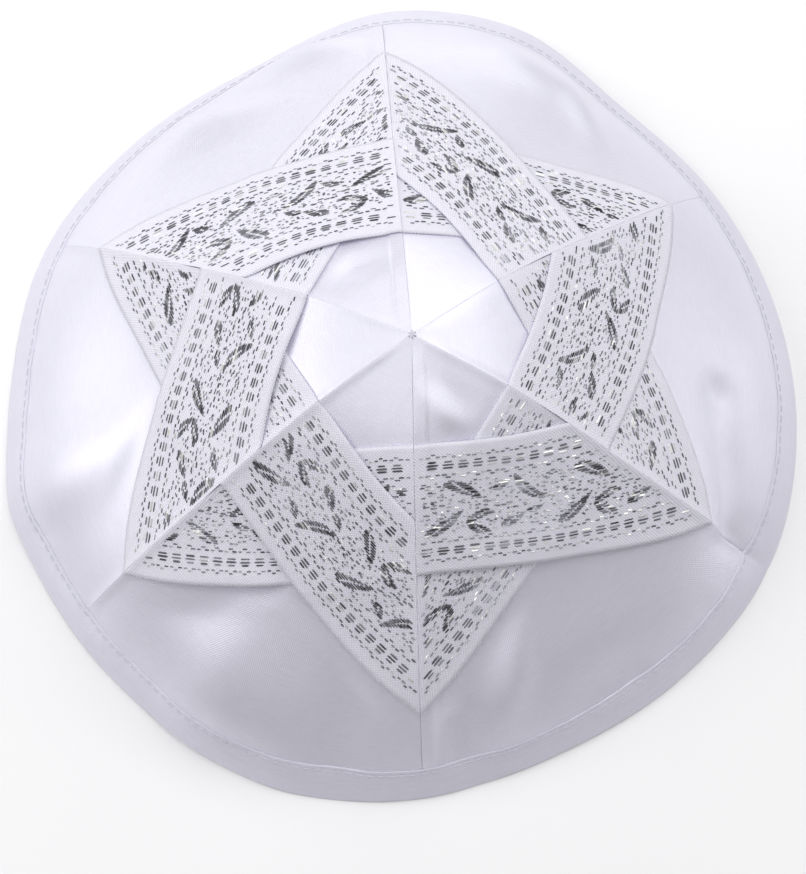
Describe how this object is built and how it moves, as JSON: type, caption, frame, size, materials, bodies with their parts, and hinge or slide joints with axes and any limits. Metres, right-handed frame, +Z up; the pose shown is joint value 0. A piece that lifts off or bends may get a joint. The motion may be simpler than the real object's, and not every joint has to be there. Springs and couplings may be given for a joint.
{
  "type": "kippah skullcap",
  "caption": "Shallow satin skullcap sewn from wedge-shaped gores, with a star of crossed silver jacquard ribbon round its bare crown and a bound rim.",
  "frame": {"origin": "on the table, under the middle of the cap's outline", "axes": "+Z up through the crown, -Y towards the front of the cap as it lies in the picture, +X to its right"},
  "size_m": [0.1697, 0.1751, 0.0572],
  "materials": {
    "satin": "white satin with a faint lavender cast, fine weave, soft sheen",
    "ribbon": "white twill-ground ribbon brocaded with silver metallic thread",
    "binding": "white satin tape folded round the rim and stitched"
  },
  "bodies": {
    "root": {"panel_back_right": "satin", "panel_back_left": "satin", "panel_left": "satin", "panel_front_left": "satin", "panel_front_right": "satin", "panel_right": "satin", "ribbon_under_back_right": "ribbon", "ribbon_under_back_left": "ribbon", "ribbon_under_left": "ribbon", "ribbon_under_front_left": "ribbon", "ribbon_under_front_right": "ribbon", "ribbon_under_right": "ribbon", "ribbon_over_back_right": "ribbon", "ribbon_over_back_left": "ribbon", "ribbon_over_left": "ribbon", "ribbon_over_front_left": "ribbon", "ribbon_over_front_right": "ribbon", "ribbon_over_right": "ribbon", "rim_binding": "binding"}
  },
  "joints": []
}
